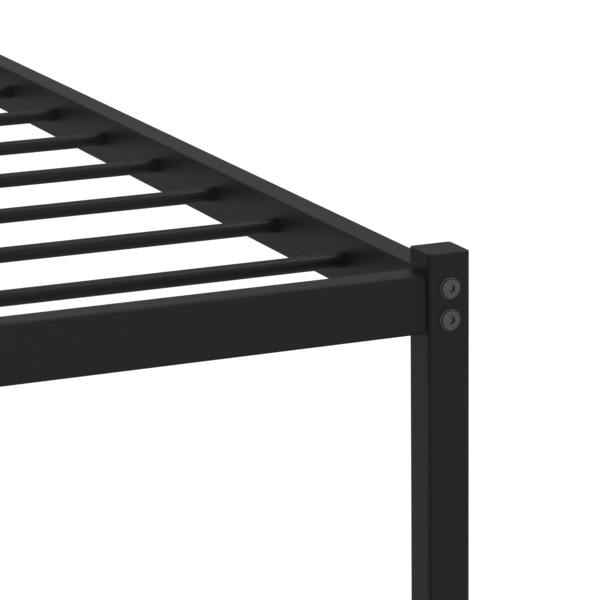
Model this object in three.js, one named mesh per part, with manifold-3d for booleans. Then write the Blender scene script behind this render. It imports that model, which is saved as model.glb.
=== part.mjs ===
// A low metal bed frame for one 900 x 2000 mattress: two welded ends, side rails in bolted halves, and
// round tube slats across. Millimetres, +Z up. The origin is on the floor under the middle of the frame.
// +X runs along the foot rail to the right, as seen from the foot of the bed, and +Y from foot to head.
import * as THREE from "three";
import { mergeVertices } from "three/addons/utils/BufferGeometryUtils.js";
import Module from "manifold-3d";

const wasm = await Module();
wasm.setup();

// The mattress and the room around it
const MATTRESS_WIDTH = 900;
const MATTRESS_LENGTH = 2000;
const MATTRESS_PLAY = 5; // on each side and at each end, so that the posts just clear its corners
const RAIL_TOP = 290; // above the floor
const GAP = 0.3; // between pieces that touch

// Square and rectangular tubes
const POST = 30;
const POST_RISE = 14; // posts stand this much above the rails
const RAIL_HEIGHT = 40;
const RAIL_THICK = 20;
const TUBE_WALL = 1.5;
const POST_CORNER = 3; // outside radius of the posts
const TUBE_CORNER = 2; // and of the other tubes
const CAP_THICK = 2;

// Slats
const SLAT_COUNT = 16;
const SLAT_DIAMETER = 11;
const SLAT_WALL = 1.2;

// Low-head socket bolts. The corner bolts pass through the posts into threaded blocks in the side rails.
const CORNER_BOLT = { shank: 8, length: 50, head: 14.4, headHeight: 1.9, keySize: 5 };
const MID_SCREW = { shank: 6, length: 12, head: 12, headHeight: 1.9, keySize: 4 };
const HEAD_FLANGE = 0.6; // thickness of the flange under a head's raised disc
const HEAD_STEP = 1; // from the flange's rim in to the disc
const HEAD_BEVEL = 0.3;
const KEY_DEPTH = 2.6; // of the socket
const BOLT_SPACING = 21; // centre to centre, one above the other
const BLOCK_LENGTH = 20;

// Middle legs, where the halves of each side rail meet
const JOINER_LENGTH = 200;
const JOINER_WALL = 2;
const MID_LEG = 25;
const MID_PLATE_THICK = 3;
const MID_PLATE_LENGTH = 120;
const MID_SCREW_SPACING = 80;

// Foot glides
const GLIDE_BASE = 4; // thickness under the tube
const GLIDE_PLUG = 14; // depth inside the tube
const GLIDE_WALL = 2;

// Smoothness of the round shapes
const CORNER_STEPS = 1; // two facets to a quarter turn
const SLAT_STEPS = 8; // two facets to each step
const BOLT_STEPS = 16;
const DRILL_STEPS = 12;

const INNER_WIDTH = MATTRESS_WIDTH + 2 * MATTRESS_PLAY;
const INNER_LENGTH = MATTRESS_LENGTH + 2 * MATTRESS_PLAY;
const RAIL_SETBACK = (POST - RAIL_THICK) / 2;
const SIDE_RAIL_X = (INNER_WIDTH + RAIL_THICK) / 2; // middle of a side rail and of its posts
const END_RAIL_Y = (INNER_LENGTH + RAIL_THICK) / 2;
const SIDE_RAIL_END = END_RAIL_Y - POST / 2;
const RAIL_BOTTOM = RAIL_TOP - RAIL_HEIGHT;
const RAIL_MIDDLE = RAIL_TOP - RAIL_HEIGHT / 2;
const OUTER_Y = INNER_LENGTH / 2 + RAIL_THICK + RAIL_SETBACK;
const SLAT_PITCH = INNER_LENGTH / (SLAT_COUNT + 1);
const ENDS = { foot: -1, head: 1 };
const SIDES = { left: -1, right: 1 };

// Materials: black powder coat, blackened steel bolts, bare steel inside, black plastic glides
const finish = (color, roughness, metalness) => () =>
  new THREE.MeshStandardMaterial({ color, roughness, metalness });
const powderCoat = finish(0x242424, 0.55, 0.1);
const boltSteel = finish(0x4a4a4a, 0.4, 0.8);
const bareSteel = finish(0x7d7f80, 0.5, 0.9);
const plastic = finish(0x1c1c1c, 0.7, 0);

const bed = new THREE.Group();

function addPiece(name, geometry, material, [x, y, z], turnedRound = false) {
  const mesh = new THREE.Mesh(geometry, material());
  mesh.name = name;
  mesh.position.set(x, y, z);
  mesh.rotation.z = turnedRound ? Math.PI : 0;
  bed.add(mesh);
}

// A closed geometry as a solid for joining and cutting, and back again
function toSolid(geometry) {
  const bare = geometry.clone();
  bare.deleteAttribute("normal");
  bare.deleteAttribute("uv");
  const merged = mergeVertices(bare, 1e-4);
  const vertProperties = merged.getAttribute("position").array;
  return new wasm.Manifold(
    new wasm.Mesh({ numProp: 3, vertProperties, triVerts: new Uint32Array(merged.index.array) }),
  );
}

function toGeometry(solid) {
  const { vertProperties, triVerts } = solid.getMesh();
  const indexed = new THREE.BufferGeometry();
  indexed.setAttribute("position", new THREE.BufferAttribute(vertProperties, 3));
  indexed.setIndex(new THREE.BufferAttribute(triVerts, 1));
  const faceted = indexed.toNonIndexed();
  faceted.computeVertexNormals();
  return faceted;
}

const cut = (geometry, ...tools) =>
  toGeometry(tools.reduce((solid, tool) => solid.subtract(toSolid(tool)), toSolid(geometry)));
const join = (a, b) => toGeometry(toSolid(a).add(toSolid(b)));

// A rectangle with rounded corners, centred on the origin
function roundedRectangle(width, height, radius, path = new THREE.Shape()) {
  const x = width / 2 - radius;
  const y = height / 2 - radius;
  const quarter = Math.PI / 2;
  path.absarc(x, y, radius, 0, quarter);
  path.absarc(-x, y, radius, quarter, 2 * quarter);
  path.absarc(-x, -y, radius, 2 * quarter, 3 * quarter);
  path.absarc(x, -y, radius, 3 * quarter, 4 * quarter);
  path.closePath();
  return path;
}

function circle(diameter, path = new THREE.Shape()) {
  return path.absarc(0, 0, diameter / 2, 0, 2 * Math.PI);
}

// Extrusions start at the origin and run along +Z
function extrude(shape, length, curveSegments = CORNER_STEPS) {
  return new THREE.ExtrudeGeometry(shape, { depth: length, bevelEnabled: false, curveSegments });
}

function boxTube(width, height, wall, length, corner = TUBE_CORNER) {
  const section = roundedRectangle(width, height, corner);
  const innerCorner = Math.max(corner - wall, 0.5);
  const bore = roundedRectangle(width - 2 * wall, height - 2 * wall, innerCorner, new THREE.Path());
  section.holes.push(bore);
  return extrude(section, length);
}

// Lay a vertical extrusion along X or Y: its section's own Y stays upright
const alongY = (geometry) => geometry.rotateX(Math.PI / 2).rotateZ(Math.PI);
const alongX = (geometry) => geometry.rotateX(Math.PI / 2).rotateZ(Math.PI / 2);

// A drill along Y through the origin, for a bolt's clearance hole
function drill(bolt, length) {
  const radius = bolt.shank / 2 + GAP;
  return new THREE.CylinderGeometry(radius, radius, length, DRILL_STEPS);
}

// A bolt along Y: its shank runs to +Y from the origin, and its flange and raised disc sit on the -Y side
function socketBolt({ shank, length, head, headHeight, keySize }) {
  const top = -GAP - headHeight;
  const step = -GAP - HEAD_FLANGE;
  const discRadius = head / 2 - HEAD_STEP;
  const profile = [
    [0, top],
    [discRadius - HEAD_BEVEL, top],
    [discRadius, top + HEAD_BEVEL],
    [discRadius, step],
    [head / 2 - HEAD_BEVEL, step],
    [head / 2, step + HEAD_BEVEL],
    [head / 2, -GAP],
    [shank / 2, -GAP],
    [shank / 2, length - GAP],
    [0, length - GAP],
  ];
  const body = new THREE.LatheGeometry(
    profile.map(([radius, y]) => new THREE.Vector2(radius, y)),
    BOLT_STEPS,
  );
  const keyRadius = keySize / Math.sqrt(3);
  const key = new THREE.CylinderGeometry(keyRadius, keyRadius, 2 * KEY_DEPTH, 6);
  return cut(body, key.translate(0, top, 0));
}

// A foot glide under a square tube: a base plate, and a hollow plug that presses into the tube
function glide(width, corner = TUBE_CORNER) {
  const plugWidth = width - 2 * TUBE_WALL - 2 * GAP;
  const base = extrude(roundedRectangle(width, width, corner), GLIDE_BASE);
  const section = roundedRectangle(plugWidth, plugWidth, 1);
  const hollow = plugWidth - 2 * GLIDE_WALL;
  section.holes.push(roundedRectangle(hollow, hollow, 1, new THREE.Path()));
  const overlap = 1;
  const plug = extrude(section, GLIDE_PLUG + overlap).translate(0, 0, GLIDE_BASE - overlap);
  return join(base, plug);
}

// Posts, with their caps, glides and the bolts that hold the side rails
function addCorner(end, side) {
  const name = `${end}_${side}`;
  const x = SIDES[side] * SIDE_RAIL_X;
  const y = ENDS[end] * END_RAIL_Y;
  const postBottom = GLIDE_BASE + GAP;
  const postTop = RAIL_TOP + POST_RISE - CAP_THICK - GAP;
  const boltHeights = { upper: RAIL_MIDDLE + BOLT_SPACING / 2, lower: RAIL_MIDDLE - BOLT_SPACING / 2 };
  const drills = Object.values(boltHeights).map((z) =>
    drill(CORNER_BOLT, 2 * POST).translate(0, 0, z - postBottom),
  );
  const tube = boxTube(POST, POST, TUBE_WALL, postTop - postBottom, POST_CORNER);
  const post = cut(tube, ...drills);
  addPiece(`post_${name}`, post, powderCoat, [x, y, postBottom]);
  const cap = extrude(roundedRectangle(POST, POST, POST_CORNER), CAP_THICK);
  addPiece(`post_cap_${name}`, cap, powderCoat, [x, y, postTop + GAP]);
  addPiece(`glide_${name}`, glide(POST, POST_CORNER), plastic, [x, y, 0]);

  const bolt = socketBolt(CORNER_BOLT);
  for (const [place, z] of Object.entries(boltHeights)) {
    addPiece(`bolt_${name}_${place}`, bolt, boltSteel, [x, ENDS[end] * OUTER_Y, z], end === "head");
  }
  addRailBlock(name, x, ENDS[end]);
}

// The threaded block in the mouth of a side rail
function addRailBlock(name, x, direction) {
  const fit = TUBE_WALL + GAP;
  const section = roundedRectangle(RAIL_THICK - 2 * fit, RAIL_HEIGHT - 2 * fit, 1);
  const drills = [-1, 1].map((up) =>
    drill(CORNER_BOLT, 4 * BLOCK_LENGTH).translate(0, 0, (up * BOLT_SPACING) / 2),
  );
  const block = cut(alongY(extrude(section, BLOCK_LENGTH)), ...drills);
  const farEnd = SIDE_RAIL_END - GAP;
  const y = direction > 0 ? farEnd - BLOCK_LENGTH : -farEnd;
  addPiece(`rail_block_${name}`, block, bareSteel, [x, y, RAIL_MIDDLE]);
}

// The rail across each end, welded between two posts
function addEndRail(end) {
  const length = 2 * SIDE_RAIL_X - POST - 2 * GAP;
  const rail = alongX(boxTube(RAIL_THICK, RAIL_HEIGHT, TUBE_WALL, length));
  addPiece(`${end}_rail`, rail, powderCoat, [-length / 2, ENDS[end] * END_RAIL_Y, RAIL_MIDDLE]);
}

// A side rail's two halves, the joiner inside them and the leg under the seam
function addSideRail(side) {
  const x = SIDES[side] * SIDE_RAIL_X;
  const length = SIDE_RAIL_END - GAP - GAP / 2;
  const screwY = MID_SCREW_SPACING / 2;
  const upright = (geometry) => geometry.rotateX(Math.PI / 2);
  for (const end of Object.keys(ENDS)) {
    const start = ENDS[end] > 0 ? GAP / 2 : -length - GAP / 2;
    const hole = upright(drill(MID_SCREW, 4 * TUBE_WALL));
    hole.translate(0, ENDS[end] * screwY - start, RAIL_BOTTOM - RAIL_MIDDLE);
    const rail = cut(alongY(boxTube(RAIL_THICK, RAIL_HEIGHT, TUBE_WALL, length)), hole);
    addPiece(`side_rail_${side}_${end}`, rail, powderCoat, [x, start, RAIL_MIDDLE]);
  }

  const screwHoles = (depth, z) =>
    [-1, 1].map((way) => upright(drill(MID_SCREW, depth)).translate(0, way * screwY, z));
  const fit = TUBE_WALL + GAP;
  const joinerHeight = RAIL_HEIGHT - 2 * fit;
  const sleeve = alongY(boxTube(RAIL_THICK - 2 * fit, joinerHeight, JOINER_WALL, JOINER_LENGTH));
  sleeve.translate(0, -JOINER_LENGTH / 2, 0);
  const joiner = cut(sleeve, ...screwHoles(4 * JOINER_WALL, -joinerHeight / 2));
  addPiece(`rail_joiner_${side}`, joiner, bareSteel, [x, 0, RAIL_MIDDLE]);

  const plateBottom = RAIL_BOTTOM - GAP - MID_PLATE_THICK;
  const flat = extrude(roundedRectangle(MID_LEG, MID_PLATE_LENGTH, TUBE_CORNER), MID_PLATE_THICK);
  const plate = cut(flat, ...screwHoles(4 * MID_PLATE_THICK, 0));
  addPiece(`mid_plate_${side}`, plate, powderCoat, [x, 0, plateBottom]);
  const legBottom = GLIDE_BASE + GAP;
  const leg = boxTube(MID_LEG, MID_LEG, TUBE_WALL, plateBottom - GAP - legBottom);
  addPiece(`mid_leg_${side}`, leg, powderCoat, [x, 0, legBottom]);
  addPiece(`mid_glide_${side}`, glide(MID_LEG), plastic, [x, 0, 0]);

  const screw = upright(socketBolt(MID_SCREW));
  for (const [end, way] of Object.entries(ENDS)) {
    addPiece(`mid_screw_${side}_${end}`, screw, boltSteel, [x, way * screwY, plateBottom]);
  }
}

// Round slats across the frame, at equal steps, welded to the side rails' inner faces
function addSlats() {
  const section = circle(SLAT_DIAMETER);
  section.holes.push(circle(SLAT_DIAMETER - 2 * SLAT_WALL, new THREE.Path()));
  const length = INNER_WIDTH - 2 * GAP;
  const slat = alongX(extrude(section, length, SLAT_STEPS));
  for (let i = 1; i <= SLAT_COUNT; i++) {
    const y = i * SLAT_PITCH - INNER_LENGTH / 2;
    const name = `slat_${String(i).padStart(2, "0")}`;
    addPiece(name, slat, powderCoat, [-length / 2, y, RAIL_MIDDLE]);
  }
}

for (const end of Object.keys(ENDS)) {
  addEndRail(end);
  for (const side of Object.keys(SIDES)) addCorner(end, side);
}
for (const side of Object.keys(SIDES)) addSideRail(side);
addSlats();

export default bed;
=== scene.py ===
"""A low black metal bed frame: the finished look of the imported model, in the model's own frame, in metres."""
import math

import bmesh
import bpy
from mathutils import Matrix, Vector


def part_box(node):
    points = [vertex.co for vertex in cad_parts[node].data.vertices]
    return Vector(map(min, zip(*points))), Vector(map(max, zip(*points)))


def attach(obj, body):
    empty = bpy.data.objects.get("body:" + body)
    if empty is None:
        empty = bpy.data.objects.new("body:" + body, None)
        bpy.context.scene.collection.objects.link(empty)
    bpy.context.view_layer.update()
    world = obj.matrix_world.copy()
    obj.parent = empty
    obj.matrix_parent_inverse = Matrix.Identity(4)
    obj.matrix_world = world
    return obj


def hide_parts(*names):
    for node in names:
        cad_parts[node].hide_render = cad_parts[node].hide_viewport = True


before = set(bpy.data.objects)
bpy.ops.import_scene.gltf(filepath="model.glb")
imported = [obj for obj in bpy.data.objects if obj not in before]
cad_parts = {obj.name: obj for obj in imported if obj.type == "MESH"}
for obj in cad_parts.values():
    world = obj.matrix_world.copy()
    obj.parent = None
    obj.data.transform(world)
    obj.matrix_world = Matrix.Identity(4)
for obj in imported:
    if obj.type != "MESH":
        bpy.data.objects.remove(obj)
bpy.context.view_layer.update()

MM = 0.001

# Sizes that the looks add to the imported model
CORNER = 2 * MM  # outside corner radius of the rails and middle legs
POST_CORNER = 3 * MM
CORNER_STEPS = 8
POST_WIDTH = 30 * MM
MIDDLE_LEG_WIDTH = 25 * MM
TUBE_WALL = 1.5 * MM
CUT_EDGE = 0.25 * MM  # deburred edge of a sawn tube
CAP_EDGE = 0.7 * MM  # rounded edge round a post's closed top
CAP_EDGE_STEPS = 5
CAP_THICK = 2 * MM
PLATE_EDGE = 0.4 * MM
SLATS = 16
SLAT_STEPS = 72
SLAT_WELD = 0.9 * MM  # leg of the bead round a slat's end
RAIL_WELD = 1.2 * MM
WELD_STEPS = 5
DRESSED = 0.04  # share of a bead that is left where it is dressed
RIPPLE = 0.12 * MM
RIPPLE_PITCH = 1.7 * MM
REACH = 0.35 * MM  # a weld crosses the model's gap and just enters its neighbour
BOLT_HOLE = 4.3 * MM  # radius of the clearance holes for the corner bolts
SCREW_HOLE = 3.3 * MM  # and for the middle legs' screws
HOLE_STEPS = 32
BOLT_STEPS = 60
HEAD_HEIGHT = 1.9 * MM
HEAD_STEP = 1 * MM  # the raised disc is this much smaller all round than its flange
FLANGE = 0.6 * MM
GROOVE = 0.3 * MM  # turned groove round the foot of the disc
KEY_DEPTH = 2.6 * MM
KEY_CHAMFER = 0.3 * MM
DISC_EDGE = 0.35 * MM
THREAD_PITCH = 1.25 * MM
THREAD_DEPTH = 0.6 * MM
THREAD_STEPS = 6  # rings to one turn of thread
THREAD_END_STEPS = 8  # rings over which the thread runs out at the tip
GLIDE_BASE = 4 * MM
GLIDE_EDGE = 0.9 * MM
GLIDE_EDGE_STEPS = 4
PLUG_PLAY = 0.6 * MM  # how much narrower a glide's plug is than the inside of its tube
PLUG_CORNER = 1 * MM
RIB_PITCH = 3 * MM
RIB_HEIGHT = 0.6 * MM
SHARP_EDGE = math.radians(32)  # faces that meet at more than this keep a crisp edge
AXES = "XYZ"
ENDS = {"foot": -1, "head": 1}  # and which way each faces along Y
SIDES = ("left", "right")


# ---------------------------------------------------------------- mesh code


def rounded_section(width, height, corner):
    """Points round a rectangle with rounded corners, centred on the origin."""
    points = []
    for quarter, (sx, sy) in enumerate([(1, 1), (-1, 1), (-1, -1), (1, -1)]):
        centre = Vector((sx * (width / 2 - corner), sy * (height / 2 - corner)))
        for i in range(CORNER_STEPS + 1):
            angle = (quarter + i / CORNER_STEPS) * math.pi / 2
            points.append(centre + corner * Vector((math.cos(angle), math.sin(angle))))
    return points


def round_section(radius, steps):
    angles = (2 * math.pi * i / steps for i in range(steps))
    return [Vector((radius * math.cos(a), radius * math.sin(a))) for a in angles]


def placed(points, axis, centre, along):
    """A flat section's points in the row frame: across the axis, at a distance along it."""
    if axis == "X":
        return [Vector((along, centre.y + p.x, centre.z + p.y)) for p in points]
    if axis == "Y":
        return [Vector((centre.x + p.x, along, centre.z + p.y)) for p in points]
    return [Vector((centre.x + p.x, centre.y + p.y, along)) for p in points]


def loft(name, rings, joined=False, holes=()):
    """A closed mesh through rings with the same number of points. Joined, the last ring meets the first."""
    bm = bmesh.new()
    loops = [[bm.verts.new(p) for p in ring] for ring in rings]
    pairs = list(zip(loops, loops[1:]))
    if joined:
        pairs.append((loops[-1], loops[0]))
    else:
        bm.faces.new(loops[0])
        bm.faces.new(loops[-1])
    for a, b in pairs:
        for i in range(len(a)):
            j = (i + 1) % len(a)
            bm.faces.new((a[i], a[j], b[j], b[i]))
    bmesh.ops.remove_doubles(bm, verts=bm.verts, dist=0.002 * MM)
    bmesh.ops.recalc_face_normals(bm, faces=bm.faces)
    mesh = bpy.data.meshes.new(name)
    bm.to_mesh(mesh)
    bm.free()
    piece = bpy.data.objects.new(name, mesh)
    bpy.context.scene.collection.objects.link(piece)
    for hole in holes:
        drill(piece, hole)
    return piece


def drill(piece, hole):
    """Cuts a round hole: (axis, centre, radius, length)."""
    axis, centre, radius, length = hole
    start = centre[AXES.index(axis)] - length / 2
    rings = [placed(round_section(radius, HOLE_STEPS), axis, centre, start + t) for t in (0, length)]
    cutter = loft("cutter", rings)
    cut = piece.modifiers.new("hole", "BOOLEAN")
    cut.object = cutter
    cut.solver = "EXACT"
    depsgraph = bpy.context.evaluated_depsgraph_get()
    mesh = bpy.data.meshes.new_from_object(piece.evaluated_get(depsgraph))
    piece.modifiers.clear()
    piece.data = mesh
    bpy.data.objects.remove(cutter)


def finish_piece(piece, material, nodes):
    """Smooth shading with crisp edges, the material, and what the piece stands for."""
    bm = bmesh.new()
    bm.from_mesh(piece.data)
    for face in bm.faces:
        face.smooth = True
    for edge in bm.edges:
        edge.smooth = len(edge.link_faces) == 2 and edge.calc_face_angle() < SHARP_EDGE
    bm.to_mesh(piece.data)
    bm.free()
    normals = piece.modifiers.new("flat faces stay flat", "WEIGHTED_NORMAL")
    normals.keep_sharp = True
    piece.data.materials.clear()
    piece.data.materials.append(material)
    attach(piece, "root")
    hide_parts(*nodes)


def span(node):
    """A node's size, its middle and its lowest and highest corners."""
    low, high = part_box(node)
    return high - low, (low + high) / 2, low, high


def box_tube(name, axis, size, centre, start, end, holes=()):
    """A rectangular tube with rounded corners and deburred open ends."""
    across = [size[i] for i in range(3) if AXES[i] != axis]

    def ring(inset, along):
        width, height = (s - 2 * inset for s in across)
        return placed(rounded_section(width, height, CORNER - inset), axis, centre, along)

    rings = [
        ring(CUT_EDGE, start),
        ring(0, start + CUT_EDGE),
        ring(0, end - CUT_EDGE),
        ring(CUT_EDGE, end),
        ring(TUBE_WALL, end),
        ring(TUBE_WALL, start),
    ]
    return loft(name, rings, joined=True, holes=holes)


# ---------------------------------------------------------------- materials


def new_material(name):
    """A material, its node tree and shader, and the coordinates fixed to the piece."""
    material = bpy.data.materials.new(name)
    material.use_nodes = True
    tree = material.node_tree
    shader = tree.nodes["Principled BSDF"]
    coordinates = tree.nodes.new("ShaderNodeTexCoord")
    return material, tree, shader, coordinates.outputs["Object"]


def noise(tree, place, scale, detail=2.0):
    node = tree.nodes.new("ShaderNodeTexNoise")
    node.inputs["Scale"].default_value = scale
    node.inputs["Detail"].default_value = detail
    tree.links.new(place, node.inputs["Vector"])
    return node.outputs["Fac"]


def ramp(tree, value, low, high, at_low=0.35, at_high=0.65):
    """A colour between low and high as value goes from at_low to at_high."""
    node = tree.nodes.new("ShaderNodeValToRGB")
    for stop, position, colour in zip(node.color_ramp.elements, (at_low, at_high), (low, high)):
        stop.position = position
        stop.color = (*colour, 1) if isinstance(colour, tuple) else (colour, colour, colour, 1)
    tree.links.new(value, node.inputs["Fac"])
    return node.outputs["Color"]


def bump(tree, shader, height, strength, distance):
    node = tree.nodes.new("ShaderNodeBump")
    node.inputs["Strength"].default_value = strength
    node.inputs["Distance"].default_value = distance
    tree.links.new(height, node.inputs["Height"])
    tree.links.new(node.outputs["Normal"], shader.inputs["Normal"])


COAT_DARK = 0.026
COAT_LIGHT = 0.034
COAT_ROUGH = 0.41
COAT_ROUGH_SPREAD = 0.04
COAT_SPECULAR = 0.5


def powder_coat():
    """Black polyester powder coat: a fine orange peel, and a faint mottle in colour and gloss."""
    material, tree, shader, place = new_material("powder_coat")
    mottle = noise(tree, place, 900, detail=3)
    tree.links.new(ramp(tree, mottle, COAT_DARK, COAT_LIGHT), shader.inputs["Base Color"])
    gloss = noise(tree, place, 350)
    rough = ramp(tree, gloss, COAT_ROUGH - COAT_ROUGH_SPREAD, COAT_ROUGH + COAT_ROUGH_SPREAD)
    tree.links.new(rough, shader.inputs["Roughness"])
    shader.inputs["Specular IOR Level"].default_value = COAT_SPECULAR
    bump(tree, shader, noise(tree, place, 1100), 0.4, 0.05 * MM)
    return material


def bolt_steel():
    """Black zinc plate on steel: a dark grey metal with a fine speckle."""
    material, tree, shader, place = new_material("bolt_steel")
    speckle = noise(tree, place, 2600, detail=3)
    tree.links.new(ramp(tree, speckle, 0.17, 0.32), shader.inputs["Base Color"])
    shader.inputs["Metallic"].default_value = 0.6
    tree.links.new(ramp(tree, speckle, 0.38, 0.5), shader.inputs["Roughness"])
    bump(tree, shader, speckle, 0.2, 0.03 * MM)
    return material


def bolt_painted_shade():
    """The same plate, painted near black as painted shade on the walls of the socket and the disc."""
    material, tree, shader, place = new_material("bolt_painted_shade")
    shade_noise = noise(tree, place, 2200, detail=2)
    tree.links.new(ramp(tree, shade_noise, 0.008, 0.016), shader.inputs["Base Color"])
    tree.links.new(ramp(tree, shade_noise, 0.5, 0.62), shader.inputs["Roughness"])
    bump(tree, shader, shade_noise, 0.2, 0.03 * MM)
    return material


def socket_floor_painted_light():
    """The floor of a socket, painted as bright steel: painted light where the floor lies in the socket's shade.
    """
    material, tree, shader, place = new_material("socket_floor_painted_light")
    socket_mottle = noise(tree, place, 2400, detail=3)
    tree.links.new(ramp(tree, socket_mottle, 0.32, 0.5), shader.inputs["Base Color"])
    shader.inputs["Metallic"].default_value = 0.8
    tree.links.new(ramp(tree, socket_mottle, 0.4, 0.55), shader.inputs["Roughness"])
    bump(tree, shader, socket_mottle, 0.2, 0.03 * MM)
    return material


def bare_steel():
    """Drawn steel inside the joints, with faint lines along the tube."""
    material, tree, shader, place = new_material("bare_steel")
    stretch = tree.nodes.new("ShaderNodeMapping")
    stretch.inputs["Scale"].default_value = (1, 0.03, 1)
    tree.links.new(place, stretch.inputs["Vector"])
    lines = noise(tree, stretch.outputs["Vector"], 1500, detail=4)
    tree.links.new(ramp(tree, lines, 0.32, 0.48), shader.inputs["Base Color"])
    shader.inputs["Metallic"].default_value = 1.0
    tree.links.new(ramp(tree, lines, 0.3, 0.45), shader.inputs["Roughness"])
    bump(tree, shader, lines, 0.2, 0.03 * MM)
    return material


def glide_plastic():
    """Black moulded polyethylene with a fine spark-eroded grain."""
    material, tree, shader, place = new_material("glide_plastic")
    grain = noise(tree, place, 1600, detail=2)
    tree.links.new(ramp(tree, grain, 0.012, 0.022), shader.inputs["Base Color"])
    tree.links.new(ramp(tree, grain, 0.6, 0.75), shader.inputs["Roughness"])
    bump(tree, shader, grain, 0.3, 0.06 * MM)
    return material


COAT = powder_coat()
BOLT = bolt_steel()
# painted shade for the bolts' recesses
BOLT_PAINTED_SHADE = bolt_painted_shade()
# painted light for the floors of the bolts' sockets
SOCKET_PAINTED_LIGHT = socket_floor_painted_light()
STEEL = bare_steel()
PLASTIC = glide_plastic()


# ---------------------------------------------------------------- the bed


def ripple(distance, share):
    """How far a bead's scales stand out at a distance round it. share is 1 at mid-bead, 0 at its edges."""
    return RIPPLE * share * abs(math.sin(math.pi * distance / RIPPLE_PITCH))


def welded_bar(name, axis, section_at, centre, start, end, weld):
    """A bar between two faces. Its beads are dressed nearly flush on top and in front, and fuller underneath.

    section_at(outset) gives the bar's outline, grown all round by outset.
    """
    rings = []
    for face, inward in ((start - REACH, 1), (end + REACH, -1)):
        half = []
        for i in range(WELD_STEPS + 1):
            angle = i / WELD_STEPS * math.pi / 2
            share = math.sin(2 * angle)
            travelled = 0
            outline = section_at(0)
            swollen = []
            for k, (p, far) in enumerate(zip(outline, section_at(weld))):
                travelled += (p - outline[k - 1]).length if k else 0
                below = max(0, -p.y / max(q.y for q in outline)) ** 2
                full = DRESSED + (1 - DRESSED) * below
                step = full * (1 - math.sin(angle)) + full * ripple(travelled, share) / weld
                swollen.append(p + (far - p) * step)
            along = weld * (1 - math.cos(angle)) + (REACH if i else 0)
            half.append(placed(swollen, axis, centre, face + inward * along))
        rings += half if inward > 0 else half[::-1]
    return loft(name, rings)


def add_slat(node):
    size, centre, low, high = span(node)
    radius = size.z / 2
    slat = welded_bar(
        node + "_look", "X", lambda outset: round_section(radius + outset, SLAT_STEPS),
        centre, low.x, high.x, SLAT_WELD,
    )
    finish_piece(slat, COAT, [node])


def add_end_rail(end):
    node = end + "_rail"
    size, centre, low, high = span(node)
    rail = welded_bar(
        node + "_look", "X",
        lambda outset: rounded_section(size.y + 2 * outset, size.z + 2 * outset, CORNER + outset),
        centre, low.x, high.x, RAIL_WELD,
    )
    finish_piece(rail, COAT, [node])


def add_post(end, side):
    """A square tube with its welded cap ground flush, one skin from the glide up to the rounded top edge."""
    node = f"post_{end}_{side}"
    cap = f"post_cap_{end}_{side}"
    size, centre, low, _ = span(node)
    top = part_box(cap)[1].z

    def ring(inset, along):
        section = rounded_section(size.x - 2 * inset, size.y - 2 * inset, POST_CORNER - inset)
        return placed(section, "Z", centre, along)

    edge = []
    for i in range(CAP_EDGE_STEPS + 1):
        angle = i / CAP_EDGE_STEPS * math.pi / 2
        edge.append(ring(CAP_EDGE * (1 - math.cos(angle)), top - CAP_EDGE * (1 - math.sin(angle))))
    rings = [
        ring(TUBE_WALL, top - CAP_THICK),
        ring(TUBE_WALL, low.z),
        ring(CUT_EDGE, low.z),
        ring(0, low.z + CUT_EDGE),
        *edge,
    ]
    holes = []
    for level in ("upper", "lower"):
        bolt = span(f"bolt_{end}_{side}_{level}")[1]
        holes.append(("Y", Vector((bolt.x, centre.y, bolt.z)), BOLT_HOLE, 2 * size.y))
    post = loft(node + "_look", rings, holes=holes)
    finish_piece(post, COAT, [node, cap])


def add_side_rail(side, end):
    node = f"side_rail_{side}_{end}"
    size, centre, low, high = span(node)
    screw = span(f"mid_screw_{side}_{end}")[1]
    through_the_bottom = 6 * MM
    hole = ("Z", Vector((centre.x, screw.y, low.z)), SCREW_HOLE, through_the_bottom)
    rail = box_tube(node + "_look", "Y", size, centre, low.y, high.y, holes=[hole])
    finish_piece(rail, COAT, [node])


def hexagon_section(across_flats, steps):
    """A hexagon with as many points as the round sections it is lofted to."""
    points = []
    for i in range(steps):
        angle = 2 * math.pi * i / steps
        off = (angle + math.pi / 6) % (math.pi / 3) - math.pi / 6
        radius = across_flats / 2 / math.cos(off)
        points.append(Vector((radius * math.cos(angle), radius * math.sin(angle))))
    return points


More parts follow.
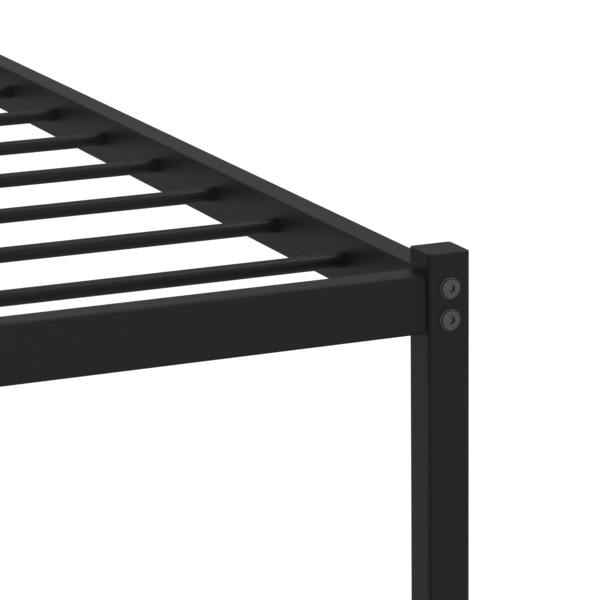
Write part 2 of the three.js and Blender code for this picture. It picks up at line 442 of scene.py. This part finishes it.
def add_bolt(node, axis, outward, shank, head, key):
    """A socket bolt along an axis: threaded shank, flange, raised disc, countersunk hexagon socket."""
    _, centre, low, high = span(node)
    index = AXES.index(axis)
    top = (high if outward > 0 else low)[index]
    tip = (low if outward > 0 else high)[index]

    def ring(radius, depth):
        return placed(round_section(radius, BOLT_STEPS), axis, centre, top - outward * depth)

    def key_ring(across_flats, depth):
        return placed(hexagon_section(across_flats, BOLT_STEPS), axis, centre, top - outward * depth)

    disc = head / 2 - HEAD_STEP
    seat = HEAD_HEIGHT - FLANGE  # depth of the flange's face
    rings = [
        key_ring(key * 0.8, KEY_DEPTH + 0.2 * MM),
        key_ring(key, KEY_DEPTH),
        key_ring(key, KEY_CHAMFER),
        ring(key * 0.6, 0.0),
        ring(disc - DISC_EDGE, 0.0),
        ring(disc - 0.1 * MM, 0.1 * MM),
        ring(disc, DISC_EDGE),
        ring(disc, seat),
        ring(disc - 0.1 * MM, seat + GROOVE),
        ring(disc + 0.25 * MM, seat + GROOVE),
        ring(disc + 0.3 * MM, seat),
        ring(head / 2 - 0.2 * MM, seat),
        ring(head / 2 - 0.05 * MM, seat + 0.06 * MM),
        ring(head / 2, seat + 0.2 * MM),
        ring(head / 2, HEAD_HEIGHT),
        ring(shank / 2, HEAD_HEIGHT),
    ]
    length = abs(top - tip)
    thread_start = length * 0.5
    thread_rings = int((length - thread_start) / (THREAD_PITCH / THREAD_STEPS))
    for i in range(thread_rings):
        depth = thread_start + i * THREAD_PITCH / THREAD_STEPS
        grow = min(1, i / THREAD_STEPS, (thread_rings - 1 - i) / THREAD_END_STEPS)
        points = []
        for k in range(BOLT_STEPS):
            angle = 2 * math.pi * k / BOLT_STEPS
            phase = (depth / THREAD_PITCH - k / BOLT_STEPS) % 1
            radius = shank / 2 - THREAD_DEPTH * grow * (1 - abs(2 * phase - 1)) - 0.1 * MM
            points.append(Vector((radius * math.cos(angle), radius * math.sin(angle))))
        rings.append(placed(points, axis, centre, top - outward * depth))
    rings.append(placed(round_section(shank / 2 - 0.8 * MM, BOLT_STEPS), axis, centre, tip))
    bolt = loft(node + "_look", rings)
    finish_piece(bolt, BOLT, [node])
    # slot 1: painted shade for the walls of the socket, the disc and its groove
    bolt.data.materials.append(BOLT_PAINTED_SHADE)
    # slot 2: painted light on the socket's floor
    bolt.data.materials.append(SOCKET_PAINTED_LIGHT)

    # The disc's wall, the groove and the socket's walls get painted shade (near black), and the socket's floor
    # gets painted light (bright steel)
    for face in bolt.data.polygons:
        depth = abs(face.center[index] - top)
        offset = face.center - centre
        offset[index] = 0
        across = offset.length
        wall = abs(face.normal[index]) < 0.6 and KEY_CHAMFER < depth < HEAD_HEIGHT
        groove = depth > seat + 0.05 * MM and disc - 0.2 * MM < across < disc + 0.31 * MM
        if (wall and across < disc + 0.1 * MM) or (groove and depth < HEAD_HEIGHT - 0.01 * MM):
            face.material_index = 1
        elif across < key and KEY_DEPTH - 0.1 * MM < depth < HEAD_HEIGHT + KEY_DEPTH:
            face.material_index = 2


def add_glide(node, tube_width, tube_corner):
    """A moulded foot: a soft-edged base, and a hollow plug with grip ribs that fills the tube's end."""
    size, centre, low, high = span(node)
    base_top = low.z + GLIDE_BASE
    plug = tube_width - 2 * TUBE_WALL - PLUG_PLAY
    between_ribs = plug - 2 * RIB_HEIGHT
    bore, bore_corner = plug - 4 * MM, 0.6 * MM

    def ring(width, along, corner):
        return placed(rounded_section(width, width, corner), "Z", centre, along)

    rings = [ring(size.x - 2 * GLIDE_EDGE, low.z, tube_corner - 0.4 * MM)]
    for i in range(1, GLIDE_EDGE_STEPS + 1):
        angle = i / GLIDE_EDGE_STEPS * math.pi / 2
        inset = GLIDE_EDGE * (1 - math.sin(angle))
        rings.append(ring(size.x - 2 * inset, low.z + GLIDE_EDGE * (1 - math.cos(angle)), tube_corner))
    rings += [
        ring(size.x, base_top - 0.3 * MM, tube_corner),
        ring(size.x - 0.4 * MM, base_top, tube_corner),
        ring(between_ribs, base_top, PLUG_CORNER),
    ]
    for i in range(int((high.z - base_top) / RIB_PITCH)):
        along = base_top + (i + 0.35) * RIB_PITCH
        rings += [
            ring(between_ribs, along, PLUG_CORNER),
            ring(plug, along + 0.3 * RIB_PITCH, PLUG_CORNER),
            ring(between_ribs, along + 0.6 * RIB_PITCH, PLUG_CORNER),
        ]
    rings += [
        ring(plug - 1.6 * MM, high.z, PLUG_CORNER),
        ring(bore, high.z, bore_corner),
        ring(bore, base_top, bore_corner),
    ]
    glide = loft(node + "_look", rings)
    finish_piece(glide, PLASTIC, [node])


def add_middle_leg(side):
    """The leg, its top plate and their weld under the seam of a side rail."""
    leg, plate = f"mid_leg_{side}", f"mid_plate_{side}"
    size, centre, low, high = span(leg)

    def ring(outset, along):
        section = rounded_section(size.x + 2 * outset, size.y + 2 * outset, CORNER + outset)
        return placed(section, "Z", centre, along)

    rings = [
        ring(-TUBE_WALL, high.z),
        ring(-TUBE_WALL, low.z),
        ring(-CUT_EDGE, low.z),
        ring(0, low.z + CUT_EDGE),
    ]
    for i in range(WELD_STEPS + 1):
        angle = i / WELD_STEPS * math.pi / 2
        along = high.z + REACH - RAIL_WELD * (1 - math.sin(angle))
        rings.append(ring(RAIL_WELD * (1 - math.cos(angle)), along))
    finish_piece(loft(leg + "_look", rings), COAT, [leg])

    size, centre, low, high = span(plate)
    rings = [
        ring(-PLATE_EDGE, low.z),
        ring(0, low.z + PLATE_EDGE),
        ring(0, high.z - PLATE_EDGE),
        ring(-PLATE_EDGE, high.z),
    ]
    through_the_plate = 9 * MM
    holes = []
    for end in ENDS:
        screw = span(f"mid_screw_{side}_{end}")[1]
        holes.append(("Z", Vector((screw.x, screw.y, centre.z)), SCREW_HOLE, through_the_plate))
    finish_piece(loft(plate + "_look", rings, holes=holes), COAT, [plate])


CORNER_BOLT = (8 * MM, 14.4 * MM, 5 * MM)  # shank and head diameters, and the key across its flats
MIDDLE_SCREW = (6 * MM, 12 * MM, 4 * MM)

for number in range(1, SLATS + 1):
    add_slat(f"slat_{number:02d}")
for end, outward in ENDS.items():
    add_end_rail(end)
    for side in SIDES:
        add_post(end, side)
        add_side_rail(side, end)
        add_glide(f"glide_{end}_{side}", POST_WIDTH, POST_CORNER)
        for level in ("upper", "lower"):
            add_bolt(f"bolt_{end}_{side}_{level}", "Y", outward, *CORNER_BOLT)
for side in SIDES:
    add_middle_leg(side)
    add_glide(f"mid_glide_{side}", MIDDLE_LEG_WIDTH, CORNER)
    for end in ENDS:
        add_bolt(f"mid_screw_{side}_{end}", "Z", -1, *MIDDLE_SCREW)
for name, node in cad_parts.items():
    if name.startswith(("rail_block", "rail_joiner")):
        node.data.materials.clear()
        node.data.materials.append(STEEL)
        soften = node.modifiers.new("broken edges", "BEVEL")
        soften.width = 0.25 * MM
        soften.segments = 2
        soften.limit_method = "ANGLE"


# ---------------------------------------------------------------- floor, camera and light

post_low, post_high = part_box("post_foot_right")
rail_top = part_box("foot_rail")[1].z

# The camera looks at the right-hand corner of the foot end, from in front and to the left of it
shown_corner = Vector((post_high.x, post_low.y, rail_top))
CAMERA_FROM_CORNER = Vector((-0.92129, -1.84095, 0.49783))
CAMERA_TURN = math.radians(23.508)
CAMERA_DOWN = math.radians(14.078)
CAMERA_ROLL = math.radians(0.705)
LENS_MM = 196.22
SENSOR_MM = 36

lens = bpy.data.cameras.new("camera")
lens.sensor_width = SENSOR_MM
lens.lens = LENS_MM
lens.clip_end = 100
camera = bpy.data.objects.new("camera", lens)
bpy.context.scene.collection.objects.link(camera)
aim = Matrix.Rotation(-CAMERA_TURN, 4, "Z") @ Matrix.Rotation(math.pi / 2 - CAMERA_DOWN, 4, "X")
aim = aim @ Matrix.Rotation(-CAMERA_ROLL, 4, "Z")
camera.matrix_world = Matrix.Translation(shown_corner + CAMERA_FROM_CORNER) @ aim
bpy.context.scene.camera = camera

FLOOR_HALF = 40  # metres
FLOOR_GLOW = 0.72
floor_mesh = bpy.data.meshes.new("floor")
bm = bmesh.new()
bmesh.ops.create_grid(bm, x_segments=1, y_segments=1, size=FLOOR_HALF)
bm.to_mesh(floor_mesh)
bm.free()
floor = bpy.data.objects.new("floor", floor_mesh)
floor.location.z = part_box("glide_foot_right")[0].z
bpy.context.scene.collection.objects.link(floor)
material, tree, shader, place = new_material("floor")
tree.links.new(ramp(tree, noise(tree, place, 3), 0.88, 0.92), shader.inputs["Base Color"])
shader.inputs["Roughness"].default_value = 0.9
shader.inputs["Specular IOR Level"].default_value = 0.0
shader.inputs["Emission Color"].default_value = (1, 1, 1, 1)
shader.inputs["Emission Strength"].default_value = FLOOR_GLOW
floor_mesh.materials.append(material)
floor.visible_glossy = False
floor.visible_diffuse = False
floor.visible_shadow = False


# Each sun's turn clockwise from +Y seen from above, its height and its softness in degrees, and its strength
SUNS = {
    "top": (0, 48, 40, 0.21),
    "high_right": (92, 64, 12, 0.14),
    "right": (95, 45, 40, 0.44),
    "left": (-80, 10, 40, 0.05),
    "front": (180, 8, 40, 0.23),
}


def add_sun(name, turn, height, softness, strength):
    """A soft light from a direction."""
    light = bpy.data.lights.new(name, "SUN")
    light.energy = strength
    light.angle = math.radians(softness)
    lamp = bpy.data.objects.new(name, light)
    towards = Vector((
        math.sin(math.radians(turn)) * math.cos(math.radians(height)),
        math.cos(math.radians(turn)) * math.cos(math.radians(height)),
        math.sin(math.radians(height)),
    ))
    lamp.rotation_euler = towards.to_track_quat("Z", "Y").to_euler()
    bpy.context.scene.collection.objects.link(lamp)


for name, values in SUNS.items():
    add_sun(name, *values)

# The studio round the bed. The camera sees it white
WORLD_ABOVE = 0.20
WORLD_BELOW = 0.245
WORLD_BELOW_DIM = 0.10  # towards the dim front left corner of the studio
DIM_TURN = math.radians(-146)
DIM_ENDS = (0.04, 0.2)  # where the dimness starts to lift and where it is gone: 0 at that corner, 1 opposite
WORLD_SEEN = 1.0

world = bpy.data.worlds.new("studio")
bpy.context.scene.world = world
world.use_nodes = True
tree = world.node_tree


def world_mix(factor, a, b):
    """Colour a, or the grey b where factor is 1."""
    node = tree.nodes.new("ShaderNodeMix")
    node.data_type = "RGBA"
    tree.links.new(factor, node.inputs["Factor"])
    tree.links.new(a, node.inputs["A"])
    node.inputs["B"].default_value = (b, b, b, 1)
    return node.outputs["Result"]


looking = tree.nodes.new("ShaderNodeTexCoord").outputs["Generated"]
away = tree.nodes.new("ShaderNodeVectorMath")
away.operation = "DOT_PRODUCT"
away.inputs[1].default_value = (-math.sin(DIM_TURN), -math.cos(DIM_TURN), 0)
tree.links.new(looking, away.inputs[0])
spread = tree.nodes.new("ShaderNodeMapRange")
spread.inputs["From Min"].default_value = -1
tree.links.new(away.outputs["Value"], spread.inputs["Value"])
below = ramp(tree, spread.outputs["Result"], WORLD_BELOW_DIM, WORLD_BELOW, *DIM_ENDS)
split = tree.nodes.new("ShaderNodeSeparateXYZ")
tree.links.new(looking, split.inputs["Vector"])
is_above = tree.nodes.new("ShaderNodeMath")
is_above.operation = "GREATER_THAN"
is_above.inputs[1].default_value = 0
tree.links.new(split.outputs["Z"], is_above.inputs[0])
lit = world_mix(is_above.outputs["Value"], below, WORLD_ABOVE)
seen = tree.nodes.new("ShaderNodeLightPath")
shown = world_mix(seen.outputs["Is Camera Ray"], lit, WORLD_SEEN)
tree.links.new(shown, tree.nodes["Background"].inputs["Color"])

bpy.context.scene.view_settings.view_transform = "Standard"
